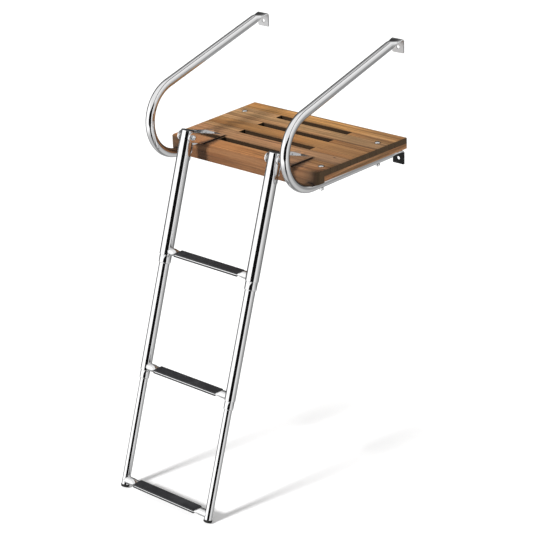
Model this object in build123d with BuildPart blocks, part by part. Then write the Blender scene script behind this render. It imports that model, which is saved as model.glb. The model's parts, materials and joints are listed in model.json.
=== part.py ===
from build123d import *
from math import sin, cos, tan, radians
import os

# Boat boarding platform with a fold-over telescopic ladder.
# Millimetres, +Z up. Origin: on the transom face (Y = 0), mid width (X = 0),
# level with the lower mounting holes. The ladder hangs off the front edge (-Y),
# left is -X. Heights below are counted from the top of the deck; save() raises
# every piece by DECK_Z onto the origin.

SIDES = ((-1, "left"), (1, "right"))

# ---------------------------------------------------------------- dimensions
# deck
DECK_DEPTH = 316.0        # front edge to rear edge of the planking
DECK_GAP = 10.0           # rear edge of the planking to the transom
FRONT_Y = -(DECK_DEPTH + DECK_GAP)
HALF_REAR = 240.0         # half width of the deck at its rear edge
HALF_FRONT = 231.0        # half width at its front edge
PLANK_T = 14.0
BATTEN_T = 14.0
BATTEN_W = 46.0
BATTEN_EDGE_R = 2.0
PLANK_CHAMFER = 0.8
NOSE_H = 42.0             # height of the front plank's face
NOSE_T = 22.0             # depth of its thick nose
NOSE_CORNER_R = 14.0      # front corners, in plan
NOSE_EDGE_R = 3.0         # top front edge
SLOT_HALF = 112.0         # half length of the slots between the planks
# front and rear edge of each plank, behind the front edge of the deck
PLANKS = [(0.0, 43.5), (65.5, 113.5), (135.0, 181.5), (203.0, 250.0), (271.0, DECK_DEPTH)]

# handrails
RAIL_OD = 22.2
RAIL_WALL = 1.5
RAIL_X = 209.0            # half spacing of the handrails
RAIL_Z = -(PLANK_T + BATTEN_T) - RAIL_OD / 2   # axis under the deck
SADDLE_FIT = 0.3          # gap between the tube and its saddle in the nose
SADDLE_CUT_H = 30.0       # straight cut below the tube axis
LOOP_R = 90.0             # bend radius of the loop, on the axis
LOOP_FRONT = FRONT_Y - 85.0    # foremost point of the axis
RISE = radians(15.6)      # slope of the upper run
TAB_W = 33.0              # flattened, bent down ends of the handrail
TAB_T = 3.0
TAB_H = 35.0
TAB_HOLE_DROP = 20.0
TAB_HOLE_R = 4.25
TAB_CORNER_R = 2.0
TAB_NECK = 3.0            # flat between the end of the loft and the bend
FLAT_LEN = 34.0           # length over which the tube is flattened
DECK_Z = TAB_HOLE_DROP - RAIL_Z   # deck top above the lower mounting holes

# deck bolts
BOLT_Y = (FRONT_Y + 38.0, FRONT_Y + 243.5)
BOLT_R = 3.0
BOLT_HOLE_R = BOLT_R + 0.1
BOLT_HEAD_R, BOLT_HEAD_H, BOLT_HEAD_FILLET = 6.5, 3.8, 3.0
BOLT_PAST = 7.2           # bolt end below the tube
BOLT_CHAMFER = 0.6
DECK_NUT_R, DECK_NUT_T = 5.77, 5.2    # over the corners of the hexagon

# ladder legs; places along a leg are distances down it from the pivot
LEG_X = 136.5             # half spacing of the ladder legs
LEG_XS = (-LEG_X, LEG_X)
PIVOT_Y = FRONT_Y - 38.5
PIVOT_Z = 25.0
PIVOT = (PIVOT_Y, PIVOT_Z)
LEAN = radians(18.5)      # legs from vertical, feet outwards
LEG_DOWN = Vector(0, -sin(LEAN), -cos(LEAN))
UP_OD, MID_OD, LOW_OD = 31.75, 25.4, 19.05
WALL = 1.2
STEP1, STEP2, STEP3 = 269.5, 552.5, 836.0    # tread tops
HEAD = 14.0               # upper tube above the pivot
TUBE_PAST = 14.0          # tube end below the tread top
LOW_PAST = 16.5           # the same for the lowest tube
OVERLAP = 28.0            # top of the inner tube above the outer tube's mouth
UP_END = STEP1 + TUBE_PAST
MID_TOP, MID_END = UP_END - OVERLAP, STEP2 + TUBE_PAST
LOW_TOP, LOW_END = MID_END - OVERLAP, STEP3 + LOW_PAST
COLLAR_LEN = 21.0
UP_COLLAR_R, MID_COLLAR_R = 14.6, 11.5
SPIGOT = 10.0             # part of the collar inside the tube
GUIDE_LEN = 14.0
FIT = 0.05
CAP_PLUG, CAP_T, CAP_CHAMFER = 5.0, 2.2, 1.4
FOOT_PLUG, FOOT_T, FOOT_R, FOOT_FILLET = 9.0, 6.5, 10.2, 2.5

# hinge brackets
HINGE_IN = 16.9           # half of the width between the ears
EAR_T = 2.5
EAR_OUT = HINGE_IN + EAR_T
BASE_T = 2.5
PIVOT_R = 4.0
EAR_R = 12.0              # ears' round end about the pivot
EAR_BLANK_H = 42.0        # channel sides before the ears are cut to shape
EAR_BLANK_W = 30.0        # width across X of the block that shapes each ear
EAR_REAR_LEFT = 8.4       # height of each bracket's left ear at the rear
EAR_REAR_RIGHT = 3.8      # and of its right ear
FOLD_OUT_R, FOLD_IN_R = 3.5, 1.0
HINGE_REAR = FRONT_Y + 73.0
HINGE_FRONT = FRONT_Y - 28.5   # front edge of the tongue's root
TONGUE_START = 20.0       # origin of the tongue's outline, down the leg
TONGUE_GAP = 0.25         # between the tongue and the upper tube
TONGUE_ROOT_W = 21.0
TONGUE_TIP_R = 3.0
# half width of the tongue, distance down the leg from TONGUE_START
TONGUE = [(TONGUE_ROOT_W / 2, -2.4), (9.3, 8.0), (7.2, 18.0), (7.0, 37.0)]
HINGE_HOLE_R = 2.6
HINGE_SCREW_Y = (FRONT_Y + 25.0, FRONT_Y + 57.0)
PILOT_R, PILOT_DEPTH = 2.0, 12.0      # screw holes in the deck
SCREW_R = 1.95
SCREW_DEPTH = 11.0        # screw below the deck top
SCREW_TIP = 1.4
SCREW_HEAD_R, SCREW_HEAD_H, SCREW_HEAD_FILLET = 4.4, 2.6, 1.9

# pivots
PIVOT_HEAD_R, PIVOT_HEAD_H, PIVOT_HEAD_FILLET = 8.2, 6.4, 4.8
PIVOT_BOLT_FIT = 0.02
PIVOT_BOLT_PAST = 4.8     # bolt end beyond the ear
NUT_T, NUT_LEN = 3.6, 9.0     # acorn nut: hexagon, and over the dome
NUT_R = 6.8               # over the corners of the hexagon
DOME_R, DOME_FILLET = 5.4, 4.4
NUT_BORE = 5.4
SLEEVE_R = 6.0
SLEEVE_BORE_FIT = 0.04
SLEEVE_END_GAP = 0.15

# treads and crossbars
TREAD_HALF = 99.5
TREAD_D = 30.0
TREAD_H = 8.6
TREAD_CORNER_R = 1.6
MOUTH_W, MOUTH_H, MOUTH_IN = 5.0, 2.2, 0.5   # cut in the front edge; centre behind the edge
GROOVE_PITCH, GROOVE_W, GROOVE_H = 2.4, 1.1, 1.0
GROOVES_PER_SIDE = 5      # each side of the middle groove
BAR_OD = 19.05            # crossbar tube, flattened under the tread
BAR_FLAT_W = 27.0
BAR_FLAT_T = 4.4
BAR_DROP = 4.3            # crossbar axis below the tread top
BAR_REACH = LEG_X - 2.0   # half length before the legs are cut out
BAR_ROUND_X = 112.0       # the bar is round outside this
BAR_FLAT_X = 93.0         # and flat inside this

os.makedirs("parts", exist_ok=True)


# ---------------------------------------------------------------- helpers
def half_at(y):
    """Half width of the deck at depth y behind the front edge."""
    return HALF_FRONT + (HALF_REAR - HALF_FRONT) * y / DECK_DEPTH


def plank_outline(front, rear):
    """Plan outline of a plank reaching both edges of the deck."""
    return [(-half_at(front), FRONT_Y + front), (half_at(front), FRONT_Y + front),
            (half_at(rear), FRONT_Y + rear), (-half_at(rear), FRONT_Y + rear)]


def leg_point(distance, x=0.0):
    """Point on the plane of the leg axes, at a distance down the leg."""
    return Vector(x, PIVOT_Y, PIVOT_Z) + LEG_DOWN * distance


def leg_plane(distance, x):
    """Plane across the leg, its normal pointing down the leg."""
    return Plane(origin=leg_point(distance, x), x_dir=(1, 0, 0), z_dir=LEG_DOWN)


def along_leg(point):
    """Distance of a point down the leg from the pivot."""
    return LEG_DOWN.dot(point - leg_point(0))


def circles_at(builder, offset):
    """Circular edges at an X offset from either leg."""
    return [e for e in builder.edges().filter_by(GeomType.CIRCLE)
            if min(abs(e.center().X - (x + offset)) for x in LEG_XS) < 0.01]


def save(part, name):
    raised = part.moved(Location((0, 0, DECK_Z)))
    raised.label = name
    export_step(raised, f"parts/{name}.step")


# ---------------------------------------------------------------- front plank
CUT_START = 5.0           # cuts into the nose start this far in front of it

with BuildPart() as front_plank:
    with BuildSketch(Plane.XY):
        with BuildLine():
            Polyline(*plank_outline(*PLANKS[0]), close=True)
        make_face()
        fillet(vertices().group_by(Axis.Y)[0], NOSE_CORNER_R)
    extrude(amount=-PLANK_T)
    # thick nose below the deck line
    with BuildSketch(Plane.XY.offset(-PLANK_T)):
        with BuildLine():
            Polyline(*plank_outline(0.0, NOSE_T), close=True)
        make_face()
        fillet(vertices().group_by(Axis.Y)[0], NOSE_CORNER_R)
    extrude(amount=-(NOSE_H - PLANK_T))
    # lower corners sloped off
    with BuildSketch(Plane.XZ.offset(-FRONT_Y + CUT_START)):
        for side, _ in SIDES:
            with BuildLine():
                Polyline((side * 200.0, -NOSE_H - 0.01), (side * 260.0, -NOSE_H - 0.01),
                         (side * 260.0, -18.5), (side * HALF_FRONT, -30.0), close=True)
            make_face()
    extrude(amount=-60, mode=Mode.SUBTRACT)
    # saddle for the handrail tube
    with BuildSketch(Plane.XZ.offset(-FRONT_Y + CUT_START)):
        for side, _ in SIDES:
            with Locations((side * RAIL_X, RAIL_Z)):
                Circle(RAIL_OD / 2 + SADDLE_FIT)
            with Locations((side * RAIL_X, RAIL_Z - SADDLE_CUT_H / 2)):
                Rectangle(RAIL_OD + 2 * SADDLE_FIT, SADDLE_CUT_H)
    extrude(amount=-(NOSE_T + CUT_START), mode=Mode.SUBTRACT)
    # bolt and hinge screw holes
    with Locations(*[(side * RAIL_X, BOLT_Y[0], 0) for side, _ in SIDES]):
        Hole(radius=BOLT_HOLE_R, depth=PLANK_T)
    with Locations(*[(x, HINGE_SCREW_Y[0], 0) for x in LEG_XS]):
        Hole(radius=PILOT_R, depth=PILOT_DEPTH)
    fillet(front_plank.edges().filter_by(
        lambda e: abs(e.center().Z) < 0.01
        and e.center().Y < FRONT_Y + NOSE_CORNER_R + 0.5), NOSE_EDGE_R)
save(front_plank.part, "front_plank")


# ---------------------------------------------------------------- deck planks
def deck_plank(front, rear):
    with BuildPart() as plank:
        with BuildSketch(Plane.XY):
            with BuildLine():
                Polyline(*plank_outline(front, rear), close=True)
            make_face()
        extrude(amount=-PLANK_T)
        if front < BOLT_Y[1] - FRONT_Y < rear:
            with Locations(*[(side * RAIL_X, BOLT_Y[1], 0) for side, _ in SIDES]):
                Hole(radius=BOLT_HOLE_R, depth=PLANK_T)
        # long top edges
        chamfer(plank.edges().filter_by(lambda e: abs(e.center().Z) < 0.01
                                        and e.geom_type == GeomType.LINE
                                        and abs(e.tangent_at(0.5).X) > 0.9), PLANK_CHAMFER)
    return plank.part


for place, (front, rear) in zip(("second", "middle", "fourth", "rear"), PLANKS[1:]):
    save(deck_plank(front, rear), f"plank_{place}")


# ------------------------------------------------- blocks closing the slot ends
def slot_blocks(side):
    with BuildPart() as blocks:
        with BuildSketch(Plane.XY):
            for (_, front), (rear, _) in zip(PLANKS, PLANKS[1:]):
                with BuildLine():
                    Polyline((side * SLOT_HALF, FRONT_Y + front),
                             (side * half_at(front), FRONT_Y + front),
                             (side * half_at(rear), FRONT_Y + rear),
                             (side * SLOT_HALF, FRONT_Y + rear), close=True)
                make_face()
        extrude(amount=-PLANK_T)
        with Locations((side * LEG_X, HINGE_SCREW_Y[1], 0)):
            Hole(radius=PILOT_R, depth=PILOT_DEPTH)
    return blocks.part


# ---------------------------------------------------------------- side battens
def side_batten(side):
    """Batten under the edge of the deck, from the nose to the rear."""
    front, rear = NOSE_T, DECK_DEPTH
    with BuildPart() as batten:
        with BuildSketch(Plane.XY.offset(-PLANK_T)):
            with BuildLine():
                Polyline((side * (half_at(front) - BATTEN_W), FRONT_Y + front),
                         (side * half_at(front), FRONT_Y + front),
                         (side * half_at(rear), FRONT_Y + rear),
                         (side * (half_at(rear) - BATTEN_W), FRONT_Y + rear), close=True)
            make_face()
        extrude(amount=-BATTEN_T)
        with Locations(*[(side * RAIL_X, y, -PLANK_T) for y in BOLT_Y]):
            Hole(radius=BOLT_HOLE_R, depth=BATTEN_T)
        # long bottom edges
        fillet(batten.edges().filter_by(lambda e: abs(e.center().Z + PLANK_T + BATTEN_T) < 0.01
                                        and abs(e.tangent_at(0.5).Y) > 0.9), BATTEN_EDGE_R)
    return batten.part


# ---------------------------------------------------------------- handrails
# (Y, Z) points of the axis: run under the deck, loop, rising run
LOOP_Y = LOOP_FRONT + LOOP_R      # centre of the loop
LOOP_Z = RAIL_Z + LOOP_R
LOOP_TOP = (LOOP_Y - LOOP_R * sin(RISE), LOOP_Z + LOOP_R * cos(RISE))
TAB_Y = -TAB_T / 2                # middle of the tabs' thickness
LOWER_END = (TAB_Y, RAIL_Z)
UPPER_END = (TAB_Y, LOOP_TOP[1] + (TAB_Y - LOOP_TOP[0]) * tan(RISE))
LOWER_ROUND = (TAB_Y - FLAT_LEN, RAIL_Z)      # last round sections
UPPER_ROUND = (TAB_Y - FLAT_LEN * cos(RISE), UPPER_END[1] - FLAT_LEN * sin(RISE))


def tab_profile(bend_z, slope):
    """Side outline of a flattened end: short flat, bend, vertical tab."""
    half = TAB_T / 2
    run_y, run_z = cos(slope), sin(slope)
    neck_y, neck_z = TAB_Y - TAB_NECK * run_y, bend_z - TAB_NECK * run_z
    return [(neck_y - half * run_z, neck_z + half * run_y),
            (TAB_Y + half, bend_z + half * (run_y + run_z)),
            (TAB_Y + half, bend_z - TAB_H + half), (TAB_Y - half, bend_z - TAB_H + half),
            (TAB_Y - half, bend_z - half), (neck_y + half * run_z, neck_z - half * run_y)]


def handrail(side):
    x = side * RAIL_X
    tab_zs = (LOWER_END[1], UPPER_END[1])
    with BuildPart() as rail:
        with BuildLine(Plane.YZ.offset(x)) as path:
            Line(LOWER_ROUND, (LOOP_Y, RAIL_Z))
            ThreePointArc((LOOP_Y, RAIL_Z), (LOOP_FRONT, LOOP_Z), LOOP_TOP)
            Line(LOOP_TOP, UPPER_ROUND)
        with BuildSketch(Plane(origin=(x, *LOWER_ROUND), x_dir=(1, 0, 0), z_dir=(0, -1, 0))):
            Circle(RAIL_OD / 2)
            Circle(RAIL_OD / 2 - RAIL_WALL, mode=Mode.SUBTRACT)
        sweep(path=path.wires()[0])
        # flattened ends
        for start, end, slope in ((LOWER_ROUND, LOWER_END, 0.0), (UPPER_ROUND, UPPER_END, RISE)):
            run = Vector(0, cos(slope), sin(slope))
            neck = Vector(x, *end) - run * TAB_NECK
            with BuildSketch(Plane(origin=(x, *start), x_dir=(1, 0, 0), z_dir=run)):
                Circle(RAIL_OD / 2)
            with BuildSketch(Plane(origin=neck, x_dir=(1, 0, 0), z_dir=run)):
                SlotOverall(TAB_W, TAB_T)
            loft()
            with BuildSketch(Plane.YZ.offset(x - TAB_W / 2)):
                with BuildLine():
                    Polyline(*tab_profile(end[1], slope), close=True)
                make_face()
            extrude(amount=TAB_W)
        # lower corners of the tabs
        fillet(rail.edges().filter_by(Axis.Y).filter_by(
            lambda e: e.center().Y > -TAB_T and e.length < TAB_T + 0.5
            and min(abs(e.center().Z - (z - TAB_H + TAB_T / 2)) for z in tab_zs) < 0.1),
            TAB_CORNER_R)
        with BuildSketch(Plane.XZ.offset(-5)):
            with Locations(*[(x, z - TAB_HOLE_DROP) for z in tab_zs]):
                Circle(TAB_HOLE_R)
        extrude(amount=20, mode=Mode.SUBTRACT)
        # bolt holes down through the tube under the deck
        with BuildSketch(Plane.XY.offset(RAIL_Z + 20)):
            with Locations(*[(x, y) for y in BOLT_Y]):
                Circle(BOLT_HOLE_R)
        extrude(amount=-40, mode=Mode.SUBTRACT)
    return rail.part


for side, word in SIDES:
    save(slot_blocks(side), f"slot_blocks_{word}")
    save(side_batten(side), f"batten_{word}")
    save(handrail(side), f"handrail_{word}")

# ---------------------------------------------------------------- deck bolts
TUBE_LOW = RAIL_Z - RAIL_OD / 2
BOLT_SPOTS = [(side * RAIL_X, y) for side, _ in SIDES for y in BOLT_Y]

with BuildPart() as deck_bolts:
    with BuildSketch(Plane.XY):
        with Locations(*BOLT_SPOTS):
            Circle(BOLT_HEAD_R)
    extrude(amount=BOLT_HEAD_H)
    fillet(deck_bolts.edges().filter_by(GeomType.CIRCLE).group_by(Axis.Z)[-1], BOLT_HEAD_FILLET)
    with BuildSketch(Plane.XY):
        with Locations(*BOLT_SPOTS):
            Circle(BOLT_R)
    extrude(amount=TUBE_LOW - BOLT_PAST)
    chamfer(deck_bolts.edges().filter_by(GeomType.CIRCLE).group_by(Axis.Z)[0], BOLT_CHAMFER)
save(deck_bolts.part, "deck_bolts")

with BuildPart() as deck_nuts:
    with BuildSketch(Plane.XY.offset(TUBE_LOW)):
        with Locations(*BOLT_SPOTS):
            RegularPolygon(radius=DECK_NUT_R, side_count=6)
            Circle(BOLT_R, mode=Mode.SUBTRACT)
    extrude(amount=-DECK_NUT_T)
save(deck_nuts.part, "deck_nuts")


# ---------------------------------------------------------------- hinge brackets
def hinge(leg_x):
    ears = []
    with BuildPart() as bracket:
        # sheet folded into a channel: base on the deck, an ear each side of the leg
        with BuildSketch(Plane.XZ.offset(-HINGE_REAR)):
            with BuildLine():
                Polyline((leg_x - EAR_OUT, EAR_BLANK_H), (leg_x - EAR_OUT, 0.0),
                         (leg_x + EAR_OUT, 0.0), (leg_x + EAR_OUT, EAR_BLANK_H),
                         (leg_x + HINGE_IN, EAR_BLANK_H), (leg_x + HINGE_IN, BASE_T),
                         (leg_x - HINGE_IN, BASE_T), (leg_x - HINGE_IN, EAR_BLANK_H),
                         close=True)
            make_face()
            fillet(vertices().group_by(Axis.Y)[0], FOLD_OUT_R)
            fillet(vertices().filter_by(lambda v: abs(v.Y - BASE_T) < 0.01
                                        and abs(abs(v.X - leg_x) - HINGE_IN) < 0.01), FOLD_IN_R)
        extrude(amount=HINGE_REAR - (PIVOT_Y - EAR_R - 1.0))
        # ears: round about the pivot, sloping down to the rear of the base; the left ear
        # of each hinge keeps more height at the rear than the right one
        for ear_x, rear_h in ((leg_x - EAR_BLANK_W, EAR_REAR_LEFT), (leg_x, EAR_REAR_RIGHT)):
            with BuildSketch(Plane.YZ.offset(ear_x), mode=Mode.PRIVATE) as ear_outline:
                with BuildLine():
                    Polyline((FRONT_Y - 6.0, -1.0), (HINGE_REAR, -1.0), (HINGE_REAR, rear_h),
                             (PIVOT_Y + 3.5, PIVOT_Z + 11.48), PIVOT,
                             (PIVOT_Y - 4.6, PIVOT_Z - 11.08), (FRONT_Y - 17.0, 5.2),
                             close=True)
                make_face()
                with Locations(PIVOT):
                    Circle(EAR_R)
            ears.append(extrude(ear_outline.sketch, amount=EAR_BLANK_W, mode=Mode.PRIVATE))
        add(ears[0] + ears[1], mode=Mode.INTERSECT)
        # root of the tongue, between the ears
        with BuildSketch(Plane.XY):
            with Locations((leg_x, (HINGE_FRONT + FRONT_Y) / 2)):
                Rectangle(TONGUE_ROOT_W, FRONT_Y - HINGE_FRONT)
        extrude(amount=BASE_T)
        with BuildSketch(Plane.YZ.offset(leg_x - 40)):
            with Locations(PIVOT):
                Circle(PIVOT_R)
        extrude(amount=80, mode=Mode.SUBTRACT)
        # tongue bent down behind the leg: it stops the ladder at its working angle
        towards_boat = Vector(0, cos(LEAN), -sin(LEAN))
        start = leg_point(TONGUE_START, leg_x) + towards_boat * (UP_OD / 2 + TONGUE_GAP)
        with BuildSketch(Plane(origin=start, x_dir=(1, 0, 0), z_dir=towards_boat)):
            with BuildLine():
                Polyline(*TONGUE, *[(-x, y) for x, y in reversed(TONGUE)], close=True)
            make_face()
            fillet(vertices().group_by(Axis.Y)[-1], TONGUE_TIP_R)
        extrude(amount=EAR_T)
        with Locations(*[(leg_x, y, BASE_T) for y in HINGE_SCREW_Y]):
            Hole(radius=HINGE_HOLE_R, depth=BASE_T)
    return bracket.part


for side, word in SIDES:
    save(hinge(side * LEG_X), f"hinge_bracket_{word}")

SCREW_SPOTS = [(x, y) for x in LEG_XS for y in HINGE_SCREW_Y]
with BuildPart() as hinge_screws:
    with BuildSketch(Plane.XY.offset(BASE_T)):
        with Locations(*SCREW_SPOTS):
            Circle(SCREW_HEAD_R)
    extrude(amount=SCREW_HEAD_H)
    fillet(hinge_screws.edges().filter_by(GeomType.CIRCLE).group_by(Axis.Z)[-1],
           SCREW_HEAD_FILLET)
    with BuildSketch(Plane.XY.offset(BASE_T)):
        with Locations(*SCREW_SPOTS):
            Circle(SCREW_R)
    extrude(amount=-(SCREW_DEPTH + BASE_T))
    chamfer(hinge_screws.edges().filter_by(GeomType.CIRCLE).group_by(Axis.Z)[0], SCREW_TIP)
save(hinge_screws.part, "hinge_screws")

# ---------------------------------------------------------------- pivots
# bolts: head outside the left ear of each hinge
with BuildPart() as pivot_bolts:
    for leg_x in LEG_XS:
        with BuildSketch(Plane.YZ.offset(leg_x - EAR_OUT)):
            with Locations(PIVOT):
                Circle(PIVOT_HEAD_R)
        extrude(amount=-PIVOT_HEAD_H)
    fillet(circles_at(pivot_bolts, -EAR_OUT - PIVOT_HEAD_H), PIVOT_HEAD_FILLET)
    for leg_x in LEG_XS:
        with BuildSketch(Plane.YZ.offset(leg_x - EAR_OUT)):
            with Locations(PIVOT):
                Circle(PIVOT_R - PIVOT_BOLT_FIT)
        extrude(amount=2 * EAR_OUT + PIVOT_BOLT_PAST)
save(pivot_bolts.part, "pivot_bolts")

# acorn nuts outside the right ears: dome first, then hexagon and bore
with BuildPart() as pivot_nuts:
    for leg_x in LEG_XS:
        with BuildSketch(Plane.YZ.offset(leg_x + EAR_OUT + NUT_T)):
            with Locations(PIVOT):
                Circle(DOME_R)
        extrude(amount=NUT_LEN - NUT_T)
    fillet(circles_at(pivot_nuts, EAR_OUT + NUT_LEN), DOME_FILLET)
    for leg_x in LEG_XS:
        with BuildSketch(Plane.YZ.offset(leg_x + EAR_OUT)):
            with Locations(PIVOT):
                RegularPolygon(radius=NUT_R, side_count=6)
        extrude(amount=NUT_T)
        with BuildSketch(Plane.YZ.offset(leg_x + EAR_OUT)):
            with Locations(PIVOT):
                Circle(PIVOT_R)
        extrude(amount=NUT_BORE, mode=Mode.SUBTRACT)
save(pivot_nuts.part, "pivot_nuts")

# sleeves fixed in the legs, turning on the pivot bolts
with BuildPart() as pivot_sleeves:
    for leg_x in LEG_XS:
        with BuildSketch(Plane.YZ.offset(leg_x - HINGE_IN + SLEEVE_END_GAP)):
            with Locations(PIVOT):
                Circle(SLEEVE_R)
                Circle(PIVOT_R + SLEEVE_BORE_FIT, mode=Mode.SUBTRACT)
        extrude(amount=2 * (HINGE_IN - SLEEVE_END_GAP))
save(pivot_sleeves.part, "pivot_sleeves")


# ---------------------------------------------------------------- legs
def leg_tube(start, end, od, leg_x, pivot_hole):
    with BuildPart() as tube:
        with BuildSketch(leg_plane(start, leg_x)):
            Circle(od / 2)
            Circle(od / 2 - WALL, mode=Mode.SUBTRACT)
        extrude(amount=end - start)
        if pivot_hole:
            with BuildSketch(Plane.YZ.offset(leg_x - 30)):
                with Locations(PIVOT):
                    Circle(SLEEVE_R)
            extrude(amount=60, mode=Mode.SUBTRACT)
    return tube.part


for side, word in SIDES:
    leg_x = side * LEG_X
    save(leg_tube(-HEAD, UP_END, UP_OD, leg_x, True), f"upper_tube_{word}")
    save(leg_tube(MID_TOP, MID_END, MID_OD, leg_x, False), f"middle_tube_{word}")
    save(leg_tube(LOW_TOP, LOW_END, LOW_OD, leg_x, False), f"lower_tube_{word}")


def collars(mouth, outer_od, inner_od, body_r):
    """Guide collars: spigot inside the outer tube, sleeve below its mouth."""
    with BuildPart() as pair:
        for leg_x in LEG_XS:
            with BuildSketch(leg_plane(mouth - SPIGOT, leg_x)):
                Circle(outer_od / 2 - WALL)
                Circle(inner_od / 2 + FIT, mode=Mode.SUBTRACT)
            extrude(amount=SPIGOT)
            with BuildSketch(leg_plane(mouth, leg_x)):
                Circle(body_r)
                Circle(inner_od / 2 + FIT, mode=Mode.SUBTRACT)
            extrude(amount=COLLAR_LEN)
    return pair.part


save(collars(UP_END, UP_OD, MID_OD, UP_COLLAR_R), "upper_collars")
save(collars(MID_END, MID_OD, LOW_OD, MID_COLLAR_R), "middle_collars")


def guides(start, outer_od, inner_od):
    """Sliding guide rings fixed on the tops of the inner tubes."""
    with BuildPart() as pair:
        for leg_x in LEG_XS:
            with BuildSketch(leg_plane(start, leg_x)):
                Circle(outer_od / 2 - WALL - FIT)
                Circle(inner_od / 2, mode=Mode.SUBTRACT)
            extrude(amount=GUIDE_LEN)
    return pair.part


save(guides(MID_TOP, UP_OD, MID_OD), "middle_guides")
save(guides(LOW_TOP, MID_OD, LOW_OD), "lower_guides")

# caps closing the tops of the upper tubes
with BuildPart() as top_caps:
    for leg_x in LEG_XS:
        with BuildSketch(leg_plane(-HEAD, leg_x)):
            Circle(UP_OD / 2 - WALL)
        extrude(amount=CAP_PLUG)
        with BuildSketch(leg_plane(-HEAD, leg_x)):
            Circle(UP_OD / 2)
        extrude(amount=-CAP_T)
    chamfer(top_caps.edges().filter_by(GeomType.CIRCLE).filter_by(
        lambda e: e.radius > UP_OD / 2 - 0.3
        and abs(along_leg(e.arc_center) + HEAD + CAP_T) < 0.05), CAP_CHAMFER)
save(top_caps.part, "top_caps")

# feet plugged into the lower tubes
with BuildPart() as feet:
    for leg_x in LEG_XS:
        with BuildSketch(leg_plane(LOW_END - FOOT_PLUG, leg_x)):
            Circle(LOW_OD / 2 - WALL)
        extrude(amount=FOOT_PLUG)
        with BuildSketch(leg_plane(LOW_END, leg_x)):
            Circle(FOOT_R)
        extrude(amount=FOOT_T)
    fillet(feet.edges().filter_by(GeomType.CIRCLE).filter_by(
        lambda e: e.radius > FOOT_R - 0.2
        and along_leg(e.arc_center) > LOW_END + FOOT_T / 2), FOOT_FILLET)
save(feet.part, "feet")


# ---------------------------------------------------------------- crossbars and treads
def crossbar(step, leg_od, bar_y, bar_z):
    """Tube between the legs, flattened in the middle and cut to fit the legs."""
    # X, whether the section is flat
    stations = [(-BAR_REACH, False), (-BAR_ROUND_X, False), (-BAR_FLAT_X, True),
                (BAR_FLAT_X, True), (BAR_ROUND_X, False), (BAR_REACH, False)]
    with BuildPart() as bar:
        for start, end in zip(stations, stations[1:]):
            same = start[1] == end[1]
            for x, flat in ((start,) if same else (start, end)):
                with BuildSketch(Plane.YZ.offset(x)):
                    with Locations((bar_y, bar_z)):
                        if flat:
                            SlotOverall(BAR_FLAT_W, BAR_FLAT_T)
                        else:
                            Circle(BAR_OD / 2)
            if same:
                extrude(amount=end[0] - start[0])
            else:
                loft()
        # the round ends are hollow
        for x in (-BAR_REACH, BAR_ROUND_X):
            with BuildSketch(Plane.YZ.offset(x)):
                with Locations((bar_y, bar_z)):
                    Circle(BAR_OD / 2 - WALL)
            extrude(amount=BAR_REACH - BAR_ROUND_X, mode=Mode.SUBTRACT)
        for leg_x in LEG_XS:
            with BuildSketch(leg_plane(step - 60, leg_x)):
                Circle(leg_od / 2)
            extrude(amount=120, mode=Mode.SUBTRACT)
    return bar.part


def tread(bar_y, bar_z):
    top = bar_z + BAR_DROP
    with BuildPart() as board:
        with BuildSketch(Plane.YZ.offset(-TREAD_HALF)):
            with Locations((bar_y, top - TREAD_H / 2)):
                Rectangle(TREAD_D, TREAD_H)
            fillet(vertices(), TREAD_CORNER_R)
            with Locations((bar_y, bar_z)):
                SlotOverall(BAR_FLAT_W, BAR_FLAT_T, mode=Mode.SUBTRACT)
            # open front edge, where the bar shows
            with Locations((bar_y - TREAD_D / 2 + MOUTH_IN, bar_z)):
                Rectangle(MOUTH_W, MOUTH_H, mode=Mode.SUBTRACT)
            # grooves along the top
            for k in range(-GROOVES_PER_SIDE, GROOVES_PER_SIDE + 1):
                with Locations((bar_y + k * GROOVE_PITCH, top)):
                    Rectangle(GROOVE_W, GROOVE_H, mode=Mode.SUBTRACT)
        extrude(amount=2 * TREAD_HALF)
    return board.part


for word, step, leg_od in (("upper", STEP1, UP_OD), ("middle", STEP2, MID_OD),
                           ("lower", STEP3, LOW_OD)):
    # the bar's axis crosses the leg axes, BAR_DROP below the tread top
    bar_y = leg_point(step).Y - BAR_DROP * tan(LEAN)
    bar_z = leg_point(step).Z - BAR_DROP
    save(crossbar(step, leg_od, bar_y, bar_z), f"{word}_crossbar")
    save(tread(bar_y, bar_z), f"{word}_tread")
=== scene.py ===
"""Boarding ladder: a slatted teak deck, two handrails and a folding telescopic ladder.

Metres, +Z up. The origin lies on the transom, level with the lower mounting holes.
The deck reaches from the transom towards -Y, its front; +X is its right. The ladder
hangs from hinges at the front and leans back towards the boat as it goes down.
"""
import bpy
import bmesh
import json
import math
from mathutils import Vector, Matrix


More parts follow.
